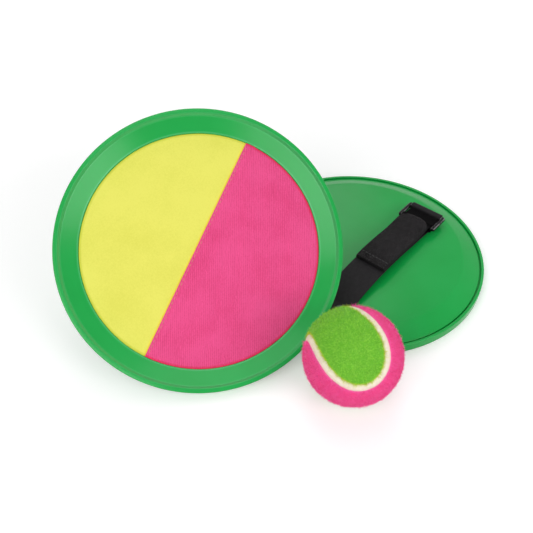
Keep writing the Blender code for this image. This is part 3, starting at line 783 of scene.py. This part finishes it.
def tail_height(x):
    """Height of the folded tail: it lies on the hook strip and climbs to the top of the bar."""
    hooked = eased((x - TAIL_END) / (HOOKS_START - TAIL_END))
    pitch = TAIL_REST + (TAIL_PITCH - TAIL_REST) * hooked
    climb = BAR_HEIGHT + WRAP_RADIUS - UNDER_BAR - TAIL_PITCH
    climbed = eased((x - RING_NEAR_BAR + TAIL_CLIMB) / TAIL_CLIMB)
    return strap_height(x) + pitch + climb * climbed


def strap_path():
    """The strap: from its riveted end under the near bar, round it and back over itself."""
    lower_xs = np.arange(STRAP_END, RING_NEAR_BAR - TURN_GAP, STRAP_STEP)
    lower = [(x, strap_height(x)) for x in lower_xs]
    tail = [(x, tail_height(x)) for x in np.arange(RING_NEAR_BAR, TAIL_END, -STRAP_STEP)[1:]]
    return [*lower, *bar_wrap(RING_NEAR_BAR), *tail, (TAIL_END, tail_height(TAIL_END))]


def strap_half_width(x):
    """Half the strap's width, which spreads to fill the ring as it turns round the near bar."""
    return STRAP_WIDTH / 2 + TAB_SPREAD * eased((x - RING_NEAR_BAR + TURN_SPREAD) / TURN_SPREAD)


webbing = webbing_finish("black webbing", "X", STRAP_DARK, STRAP_OPEN)
for side in SIDES:
    path = strap_path()
    halves = [strap_half_width(x) for x, _ in path]
    mesh = band_mesh(f"{side}_webbing", path, halves, STRAP_THICKNESS, ripple=STRAP_RIPPLE)
    add_piece(mesh.name, mesh, PLACES[side], webbing, "black_webbing", f"{side}_strap")

# Fuzzy tapes
# A black loop tape is sewn on the outer face of the folded tail. It is cut square at the tail's
# end, rounded at the ring, and its brushed loops stand up as a short fuzz.

TAPE_THICKNESS = 0.0011
TAPE_INSET = 0.0002
TAPE_CORNER = 0.009
TAPE_STITCHES = 0.006
TAPE_STITCH = {"radius": 0.00025, "length": 0.0018, "pitch": 0.0026}
TAPE_STITCH_INSET = 0.001
TAPE_STEP = 0.001
TAPE_RIPPLE = 0.00007
TAPE_SEED = 40
TAPE_FIBRES = 12000
TAPE_FIBRE_LENGTHS = (0.0003, 0.0008)
TAPE_FIBRE_WIDTH = 0.00011
TAPE_FIBRE_LEAN = 1.2
FIBRE_MARGIN = 0.0003
FIBRE_ROOT = 0.0001
KNEE_LEAN = 0.4
KNEE_SHARE = 0.55
KNEE_WIDTH = 0.8
TIP_SHARE = 0.5
TAPE_BLACK = (0.012, 0.0110, 0.0120)
TAPE_FUZZ = (0.125, 0.115, 0.121)
THREAD_BLACK = (0.03, 0.028, 0.03)


def tape_layout():
    """The tape's path and its half width at each point."""
    half = STRAP_WIDTH / 2 - TAPE_INSET
    corner_start = RING_NEAR_BAR - TAPE_CORNER
    xs = list(np.arange(TAIL_END + TAPE_INSET, corner_start, TAPE_STEP))
    xs += [corner_start + TAPE_CORNER * math.sin(a) for a in np.radians(np.linspace(0, 88, 16))]
    tail = [(x, tail_height(x)) for x in xs]
    rise = STRAP_THICKNESS / 2 + FIT + TAPE_THICKNESS / 2
    path = [(x + up.x * rise, z + up.y * rise) for (x, z), up in zip(tail, path_normals(tail))]
    halves = []
    for x in xs:
        into = min(1.0, max(0.0, (x - corner_start) / TAPE_CORNER))
        halves.append(half - TAPE_CORNER * (1 - math.sqrt(1 - into * into)))
    return path, halves


def fibre_mesh(name, roots, ups, lengths, width, lean, seed, edges):
    """Thin curved fibres on the roots. Each stores its own shade and its share of edge colour."""
    bm = bmesh.new()
    shade_layer = bm.loops.layers.float_color.new("shade")
    rng = np.random.default_rng(seed)
    for root, up, length, edge in zip(roots, ups, lengths, edges):
        up = Vector(up)
        sideways = Vector(rng.normal(size=3))
        sideways = (sideways - up * sideways.dot(up)).normalized()
        across = up.cross(sideways) * width / 2
        bend = lean * rng.uniform(0.3, 1.0)
        base = Vector(root)
        knee = base + (up + sideways * bend * KNEE_LEAN).normalized() * length * KNEE_SHARE
        tip_way = (up * (1 - 0.5 * bend) + sideways * bend).normalized()
        tip = knee + tip_way * length * TIP_SHARE
        a, b = bm.verts.new(base - across), bm.verts.new(base + across)
        c, d = bm.verts.new(knee + across * KNEE_WIDTH), bm.verts.new(knee - across * KNEE_WIDTH)
        e = bm.verts.new(tip)
        shade = rng.uniform()
        for face in (bm.faces.new((a, b, c, d)), bm.faces.new((d, c, e))):
            for loop in face.loops:
                loop[shade_layer] = (shade, edge, 0.0, 1.0)
    mesh = bpy.data.meshes.new(name)
    bm.to_mesh(mesh)
    bm.free()
    return mesh


def fuzz_finish(name, dark, light, edge, clump_size, sheen, tones=(0.55, 1.35)):
    """Brushed fibres, whose stored shade picks a colour between dark and light, then an edge colour."""
    material, tree, shader = new_finish(
        name, light, 0.95, Sheen_Weight=sheen, Sheen_Roughness=0.4, Specular_IOR_Level=0.1,
    )
    place = own_place(tree)
    stored = add_node(tree, "ShaderNodeAttribute", attribute_name="shade").outputs["Color"]
    shares = add_node(tree, "ShaderNodeSeparateColor", {0: stored}).outputs
    clump = spots(tree, place, clump_size, 3.0, 0.6)
    tone = computed(tree, "ADD", shares[0], clump)
    body = blended(tree, between(tree, tone, 0.0, 1.0, *tones), dark, light)
    tree.links.new(blended(tree, shares[1], body, edge), shader.inputs["Base Color"])
    bumped(tree, shader, spots(tree, place, 0.0007, 3.0, 0.7), 0.00015)
    return material


def tape_fuzz_mesh(name, path, halves, number):
    """Short fibres scattered over the tape's outer face."""
    rng = np.random.default_rng(TAPE_SEED + number)
    spans = rng.integers(0, len(path) - 1, TAPE_FIBRES)
    normals = path_normals(path)
    lift = TAPE_THICKNESS / 2 - FIBRE_ROOT
    roots, ups = [], []
    for span in spans:
        share = rng.uniform()
        x, z = Vector(path[span]).lerp(Vector(path[span + 1]), share)
        half = halves[span] + (halves[span + 1] - halves[span]) * share
        y = rng.uniform(-1, 1) * (half - FIBRE_MARGIN) - STRAP_OFFSET
        up = normals[span]
        roots.append((x + up.x * lift, y, z + up.y * lift))
        ups.append((up.x, 0.0, up.y))
    lengths = rng.uniform(*TAPE_FIBRE_LENGTHS, TAPE_FIBRES)
    no_edge = np.zeros(TAPE_FIBRES)
    return fibre_mesh(name, roots, ups, lengths, TAPE_FIBRE_WIDTH, TAPE_FIBRE_LEAN, number, no_edge)


def tape_stitches_mesh(name):
    """One row of stitches across the tape, near the tail's end."""
    bm = bmesh.new()
    x = TAIL_END + TAPE_STITCHES
    z = tail_height(x) + STRAP_THICKNESS / 2 + FIT + TAPE_THICKNESS
    half = STRAP_WIDTH / 2 - TAPE_STITCH_INSET
    start = Vector((x, -half - STRAP_OFFSET, z))
    end = Vector((x, half - STRAP_OFFSET, z))
    stitch_row(bm, start, end, Vector((0, 0, 1)), **TAPE_STITCH)
    return finished_mesh(name, bm)


tape_fuzz = fuzz_finish(
    "black fuzzy tape", TAPE_BLACK, TAPE_FUZZ, TAPE_FUZZ, clump_size=0.0014, sheen=0.08, tones=(0.7, 1.2),
)
black_thread = thread_finish("black thread", THREAD_BLACK)
for number, side in enumerate(SIDES):
    path, halves = tape_layout()
    tape = band_mesh(f"{side}_tape", path, halves, TAPE_THICKNESS, ripple=TAPE_RIPPLE)
    add_piece(tape.name, tape, PLACES[side], tape_fuzz, "black_tape", f"{side}_strap_tape")
    fuzz = tape_fuzz_mesh(f"{side}_tape_fuzz", path, halves, number)
    add_piece(fuzz.name, fuzz, PLACES[side], tape_fuzz, "black_tape")
    stitches = tape_stitches_mesh(f"{side}_tape_stitches")
    add_piece(stitches.name, stitches, PLACES[side], black_thread, "black_tape")

# Hook strips, rivets and ball core
# A strip of moulded hooks under the tail grips the strap. Blackened steel rivets with domed
# heads hold the tab and the strap's plain end to the plate. The ball's core is moulded rubber.

HOOKS_BLACK = (0.014, 0.014, 0.015)
RIVET_STEEL = (0.04, 0.04, 0.042)
CORE_GREY = (0.2, 0.19, 0.17)


def worn_finish(name, colour, roughness, metallic, grain):
    """A plain finish with patches of wear, which are paler and rougher."""
    material, tree, shader = new_finish(name, colour, roughness, Metallic=metallic)
    place = add_node(tree, "ShaderNodeTexCoord").outputs["Object"]
    wear = spots(tree, place, grain, 4.0, 0.6)
    tree.links.new(between(tree, wear, roughness - 0.1, roughness + 0.12), shader.inputs["Roughness"])
    paler = tuple(1.8 * c for c in colour)
    tree.links.new(blended(tree, wear, colour, paler), shader.inputs["Base Color"])
    bumped(tree, shader, wear, 0.00005)
    return material


HIDDEN_FINISHES = {
    "hooks": worn_finish("black hook strip", HOOKS_BLACK, roughness=0.55, metallic=0.0, grain=0.0008),
    "rivet": worn_finish("blackened rivet steel", RIVET_STEEL, roughness=0.42, metallic=0.9, grain=0.0015),
    "core": worn_finish("grey ball rubber", CORE_GREY, roughness=0.8, metallic=0.0, grain=0.002),
}
for name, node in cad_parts.items():
    for word, finish in HIDDEN_FINISHES.items():
        if word in name:
            node.data.materials.clear()
            node.data.materials.append(finish)

# Ball seam
# The strip between the two felts is cream rubber cement, a little below the felt, with
# uneven edges where the felt was pressed in.

BALL_RADIUS = 0.0311
FELT_THICKNESS = 0.0026
SEAM_WIDTH = 0.0042
SEAM_SWING = 0.288
SEAM_RISE = 1.067
SEAM_SHIFT = (0.052, 0.266, 0.007)
SEAM_STEPS = 720
BALL_TURN = (56.6, 51.9, -178.0)
SEAM_RADIUS = 0.0305
SEAM_FLOOR = 0.0283
SEAM_TUCK = 0.0007
SEAM_CROWN = 0.0006
SEAM_BUMPS = 0.00012
BUMP_SCALE = 22
SEAM_CREAM = (0.90, 0.82, 0.66)
SEAM_SHADE = (0.78, 0.68, 0.52)


def seam_line():
    """Unit vectors along the middle of the seam, all the way round the ball."""
    t = np.linspace(0, 2 * math.pi, SEAM_STEPS, endpoint=False)
    line = np.column_stack([
        np.cos(t) + SEAM_SWING * np.cos(3 * t),
        np.sin(t) - SEAM_SWING * np.sin(3 * t),
        SEAM_RISE * np.sin(2 * t),
    ]) + np.array(SEAM_SHIFT)
    return line / np.linalg.norm(line, axis=1, keepdims=True)


def ball_place():
    """From the ball's own axes to the set's."""
    x, y, z = (math.radians(a) for a in BALL_TURN)
    turn = Matrix.Rotation(z, 4, "Z") @ Matrix.Rotation(y, 4, "Y") @ Matrix.Rotation(x, 4, "X")
    return Matrix.Translation(middle("ball_core")) @ turn


def seam_mesh(name, line):
    """A low rounded bead along the seam, wide enough to run in under both felts."""
    along = np.roll(line, -1, axis=0) - np.roll(line, 1, axis=0)
    across = np.cross(line, along)
    across /= np.linalg.norm(across, axis=1, keepdims=True)
    half = SEAM_WIDTH / 2 + SEAM_TUCK
    bm = bmesh.new()
    rings = []
    for here, side in zip(line, across):
        ring = []
        for s in np.linspace(-1, 1, 13):
            bump = SEAM_BUMPS * noise.noise(Vector(here) * BUMP_SCALE + Vector((s * 0.6, 0, 0)))
            radius = SEAM_RADIUS - SEAM_CROWN * s * s + bump
            direction = here * radius + side * s * half
            ring.append(bm.verts.new(direction / np.linalg.norm(direction) * radius))
        ring += [bm.verts.new((here * SEAM_FLOOR + side * s * half)) for s in (1, -1)]
        rings.append(ring)
    for one, two in zip(rings, rings[1:] + rings[:1]):
        for k in range(len(one)):
            bm.faces.new((one[k - 1], one[k], two[k], two[k - 1]))
    return finished_mesh(name, bm, 50.0)


def seam_finish():
    """Dull cream rubber with a few stains."""
    material, tree, shader = new_finish("cream seam rubber", SEAM_CREAM, 0.8, Specular_IOR_Level=0.3)
    place = own_place(tree)
    clean = between(tree, spots(tree, place, 0.004, 4.0, 0.7), 0.0, 1.0, 0.3, 0.55)
    tree.links.new(blended(tree, clean, SEAM_SHADE, SEAM_CREAM), shader.inputs["Base Color"])
    bumped(tree, shader, spots(tree, place, 0.0007, 3.0, 0.7), 0.0002)
    return material


BALL_PLACE = ball_place()
SEAM = seam_line()
mesh = seam_mesh("ball_bead", SEAM)
add_piece(mesh.name, mesh, BALL_PLACE, seam_finish(), "seam_strip", "ball_seam")

# Ball felts
# Two dog-bone panels of brushed polyester felt, one lime green and one pink, are cemented to the
# rubber core. Their nap stands up as a short, slightly combed fuzz.

FELT_BASE = 0.0304
FELT_GAP = 0.0021
FELT_RAGGED = 0.00035
RAGGED_SCALE = 26
FELT_ROUNDING = 0.0013
FELT_LUMPS = 0.00018
LUMP_SCALES = (9, 25)
FELT_SINK = 0.0002
SPHERE_SPLITS = 7
CELL_MARGIN = 2.1
POINTS_AT_ONCE = 4000
FELT_FIBRES = 30000
FIBRE_LENGTHS = (0.0006, 0.0014)
STRAY_FIBRES = 0.2
STRAY_LENGTH = 2.0
EDGE_LENGTH = 0.3
FIBRE_WIDTH = 0.00017
FIBRE_LEAN = 1.6
NAP_EDGE = 0.0018
EDGE_STRENGTH = 1.5
LIME = (0.44, 0.85, 0.100)
LIME_SHADE = (0.18, 0.55, 0.038)
LIME_EDGE = (0.66, 0.70, 0.055)
BALL_PINK = (0.99, 0.160, 0.49)
BALL_PINK_SHADE = (0.93, 0.072, 0.31)


def seam_distance(points, line):
    """Distance of each unit vector from the seam, negative on the -Z panel, and the nearest index."""
    nearest = np.empty(len(points), int)
    for start in range(0, len(points), POINTS_AT_ONCE):
        batch = slice(start, start + POINTS_AT_ONCE)
        nearest[batch] = (points[batch] @ line.T).argmax(axis=1)
    close = line[nearest]
    along = np.roll(line, -1, axis=0) - np.roll(line, 1, axis=0)
    sides = np.cross(close, along[nearest])
    side = np.sign((sides * points).sum(axis=1))
    pole = np.array([[0.0, 0.0, 1.0]])
    pole_near = (pole @ line.T).argmax(axis=1)
    pole_side = np.sign((np.cross(line[pole_near], along[pole_near]) * pole).sum())
    angle = np.arccos(np.clip((close * points).sum(axis=1), -1, 1))
    return angle * BALL_RADIUS * side * pole_side, nearest


def felt_panel(name, line, sign):
    """One panel: the part of a fine sphere on its side of the seam, with its edge turned down."""
    sphere = bmesh.new()
    bmesh.ops.create_icosphere(sphere, subdivisions=SPHERE_SPLITS, radius=1.0)
    points = np.array([vert.co for vert in sphere.verts])
    points /= np.linalg.norm(points, axis=1, keepdims=True)
    signed, nearest = seam_distance(points, line)
    away = signed * sign
    shift = Vector((0, 0, 9 * sign))
    ragged = np.array([noise.noise(Vector(here) * RAGGED_SCALE + shift) for here in line])
    edge = FELT_GAP + FELT_RAGGED * ragged[nearest]
    cell = CELL_MARGIN * BALL_RADIUS * math.pi / 2 / 2 ** SPHERE_SPLITS
    sphere.verts.ensure_lookup_table()
    drop = [sphere.verts[i] for i in np.nonzero(away < edge - cell)[0]]
    for i in np.nonzero((away >= edge - cell) & (away < edge))[0]:
        close = line[nearest[i]]
        outward = points[i] - close * (points[i] @ close)
        size = np.linalg.norm(outward)
        if size < 1e-9:
            continue
        outward *= np.sign(away[i]) / size
        angle = edge[i] / BALL_RADIUS
        points[i] = close * math.cos(angle) + outward * math.sin(angle)
        away[i] = edge[i]
    for i, vert in enumerate(sphere.verts):
        inset = max(0.0, 1 - (away[i] - edge[i]) / FELT_ROUNDING)
        fall = FELT_ROUNDING * (1 - math.sqrt(max(0.0, 1 - min(1.0, inset) ** 2)))
        here = Vector(points[i])
        coarse, fine = (noise.noise(here * scale) for scale in LUMP_SCALES)
        lump = FELT_LUMPS * (coarse + 0.7 * fine)
        vert.co = here * (FELT_BASE - fall + lump)
    bmesh.ops.delete(sphere, geom=drop, context="VERTS")
    border = [edge for edge in sphere.edges if edge.is_boundary]
    skirt = bmesh.ops.extrude_edge_only(sphere, edges=border)["geom"]
    for vert in [item for item in skirt if isinstance(item, bmesh.types.BMVert)]:
        vert.co = vert.co.normalized() * (BALL_RADIUS - FELT_THICKNESS - FELT_SINK)
    return finished_mesh(name, sphere, 60.0)


def edge_share(directions):
    """1 at a panel's edge along the seam, falling to 0 at a short way in."""
    to_edge = np.abs(seam_distance(directions, SEAM)[0]) - FELT_GAP
    return np.clip(EDGE_STRENGTH * (1 - to_edge / NAP_EDGE), 0, 1)


def store_edge(felt):
    """Keeps each point's share of edge colour on the panel, beside the fibres' own."""
    points = np.array([vert.co for vert in felt.vertices])
    colours = np.zeros((len(points), 4))
    colours[:, 1] = edge_share(points / np.linalg.norm(points, axis=1, keepdims=True))
    layer = felt.attributes.new("shade", "FLOAT_COLOR", "POINT")
    layer.data.foreach_set("color", colours.ravel())


def nap_mesh(name, felt, seed):
    """Short fibres scattered evenly over a felt panel, a little longer at its edge."""
    felt.calc_loop_triangles()
    corners = np.array([[felt.vertices[v].co for v in tri.vertices] for tri in felt.loop_triangles])
    sides = np.cross(corners[:, 1] - corners[:, 0], corners[:, 2] - corners[:, 0])
    areas = np.linalg.norm(sides, axis=1)
    outside = np.linalg.norm(corners.mean(axis=1), axis=1) > FELT_BASE - 0.9 * FELT_ROUNDING
    chances = areas * outside
    rng = np.random.default_rng(seed)
    picks = rng.choice(len(corners), FELT_FIBRES, p=chances / chances.sum())
    shares = rng.dirichlet((1, 1, 1), FELT_FIBRES)
    roots = (corners[picks] * shares[:, :, None]).sum(axis=1)
    ups = roots / np.linalg.norm(roots, axis=1, keepdims=True)
    at_edge = edge_share(ups)
    lengths = rng.uniform(*FIBRE_LENGTHS, FELT_FIBRES) * (1 + EDGE_LENGTH * at_edge)
    lengths[rng.uniform(size=FELT_FIBRES) < STRAY_FIBRES] *= STRAY_LENGTH
    return fibre_mesh(name, roots, ups, lengths, FIBRE_WIDTH, FIBRE_LEAN, seed, at_edge)


FELTS = {
    "green": (1, fuzz_finish("lime felt", LIME_SHADE, LIME, LIME_EDGE, clump_size=0.0030, sheen=0.3)),
    "pink": (-1, fuzz_finish(
        "pink felt", BALL_PINK_SHADE, BALL_PINK, BALL_PINK, clump_size=0.0035, sheen=0.3,
    )),
}
for seed, (colour, (sign, felt_finish)) in enumerate(FELTS.items()):
    panel = felt_panel(f"ball_panel_{colour}", SEAM, sign)
    store_edge(panel)
    nap = nap_mesh(f"ball_nap_{colour}", panel, seed)
    add_piece(panel.name, panel, BALL_PLACE, felt_finish, f"{colour}_felt", f"ball_felt_{colour}")
    add_piece(nap.name, nap, BALL_PLACE, felt_finish, f"{colour}_felt")

# Floor, light and camera
# The set lies on a plain white sweep under soft light from above, from behind and from both sides
# of the front. The camera stands where the photograph was taken from.

FLOOR_SIZE = 6.0
FLOOR_WHITE = (0.85, 0.85, 0.85)
FLOOR_DROP = 0.0003
FLOOR_GLOW = 0.26
FAR_GLOW = 0.66
GLOW_REACH = (0.2, 1.4)
WORLD_LIGHT = 0.46
WHITE = (1.0, 1.0, 1.0, 1.0)
# Each lamp's heading and height in degrees, distance, size, power, and the surfaces that it lights.
LAMPS = {
    "overhead": (78.0, 76.0, 1.3, (0.7, 0.7), 1.2, "diffuse"),
    "behind": (96.0, 46.0, 1.3, (0.8, 0.7), 2.8, "both"),
    "front right": (-43.0, 31.0, 1.1, (0.52, 0.50), 3.9, "diffuse"),
    "front left": (-128.0, 39.0, 1.1, (0.62, 0.50), 3.9, "diffuse"),
    "overhead sheen": (120.0, 80.0, 1.3, (1.0, 1.0), 6.4, "glossy"),
    "right sheen": (-44.5, 31.0, 1.1, (0.59, 0.50), 4.5, "glossy"),
    "left sheen": (-125.0, 39.0, 1.1, (0.88, 0.60), 7.7, "glossy"),
}
CAMERA_FROM_BACK_PADDLE = (-0.07066, -0.35655, 0.3506)
CAMERA_ELEVATION = 45.22
CAMERA_ROLL = -0.97
IMAGE_WIDTH = 533
FOCAL_PIXELS = 640
SENSOR_WIDTH = 36.0
CLIP_START = 0.01


def seen_share(tree):
    """1 on rays from the camera, off a gloss or through glass, 0 on rays that light the set."""
    rays = add_node(tree, "ShaderNodeLightPath").outputs
    seen = computed(tree, "MAXIMUM", rays["Is Camera Ray"], rays["Is Glossy Ray"])
    return computed(tree, "MAXIMUM", seen, rays["Is Transmission Ray"])


def white_floor():
    """A floor that keeps the set's shadow and glows a little, more so far from the set."""
    material, tree, shader = new_finish("white floor", FLOOR_WHITE, 0.9, Specular_IOR_Level=0.0)
    place = add_node(tree, "ShaderNodeTexCoord").outputs["Object"]
    evened = between(tree, from_middle(tree, place), FLOOR_GLOW, FAR_GLOW, *GLOW_REACH)
    glow = computed(tree, "MULTIPLY", seen_share(tree), evened)
    shader.inputs["Emission Color"].default_value = WHITE
    tree.links.new(glow, shader.inputs["Emission Strength"])
    return material


floor_mesh = bpy.data.meshes.new("floor")
half = FLOOR_SIZE / 2
floor_corners = [(-half, -half, 0), (half, -half, 0), (half, half, 0), (-half, half, 0)]
floor_mesh.from_pydata(floor_corners, [], [(0, 1, 2, 3)])
floor_mesh.materials.append(white_floor())
floor = bpy.data.objects.new("floor", floor_mesh)
bpy.context.scene.collection.objects.link(floor)
floor.location.z = -FLOOR_DROP

world = bpy.data.worlds.new("white surround")
bpy.context.scene.world = world
world.use_nodes = True
tree = world.node_tree
tree.nodes.clear()
lit = add_node(tree, "ShaderNodeBackground", {"Color": WHITE, "Strength": WORLD_LIGHT}).outputs[0]
seen = add_node(tree, "ShaderNodeBackground", {"Color": WHITE, "Strength": 1.0}).outputs[0]
mixed = add_node(tree, "ShaderNodeMixShader", {0: seen_share(tree), 1: lit, 2: seen}).outputs[0]
add_node(tree, "ShaderNodeOutputWorld", {"Surface": mixed})

for name, (heading, height, distance, size, power, seen_by) in LAMPS.items():
    heading, height = math.radians(heading), math.radians(height)
    level = Vector((math.cos(heading), math.sin(heading), 0.0))
    place = distance * (level * math.cos(height) + Vector((0.0, 0.0, math.sin(height))))
    lamp = bpy.data.lights.new(name, "AREA")
    lamp.shape = "RECTANGLE"
    lamp.size, lamp.size_y = size
    lamp.energy = power
    lamp_object = bpy.data.objects.new(name, lamp)
    lamp_object.visible_diffuse = seen_by != "glossy"
    lamp_object.visible_glossy = seen_by != "diffuse"
    bpy.context.scene.collection.objects.link(lamp_object)
    lamp_object.location = place
    lamp_object.rotation_euler = (-place).to_track_quat("-Z", "Y").to_euler()

elevation, roll = math.radians(CAMERA_ELEVATION), math.radians(CAMERA_ROLL)
right = Vector((1, 0, 0))
up = Vector((0, math.sin(elevation), math.cos(elevation)))
camera_right = right * math.cos(roll) + up * math.sin(roll)
camera_up = up * math.cos(roll) - right * math.sin(roll)
turn = Matrix((camera_right, camera_up, camera_right.cross(camera_up))).transposed().to_4x4()
camera_data = bpy.data.cameras.new("camera")
camera_data.sensor_width = SENSOR_WIDTH
camera_data.lens = FOCAL_PIXELS / IMAGE_WIDTH * SENSOR_WIDTH
camera_data.clip_start = CLIP_START
camera = bpy.data.objects.new("camera", camera_data)
bpy.context.scene.collection.objects.link(camera)
camera_place = PLACES["back"].translation + Vector(CAMERA_FROM_BACK_PADDLE)
camera.matrix_world = Matrix.Translation(camera_place) @ turn
bpy.context.scene.camera = camera
bpy.context.scene.view_settings.view_transform = "Standard"
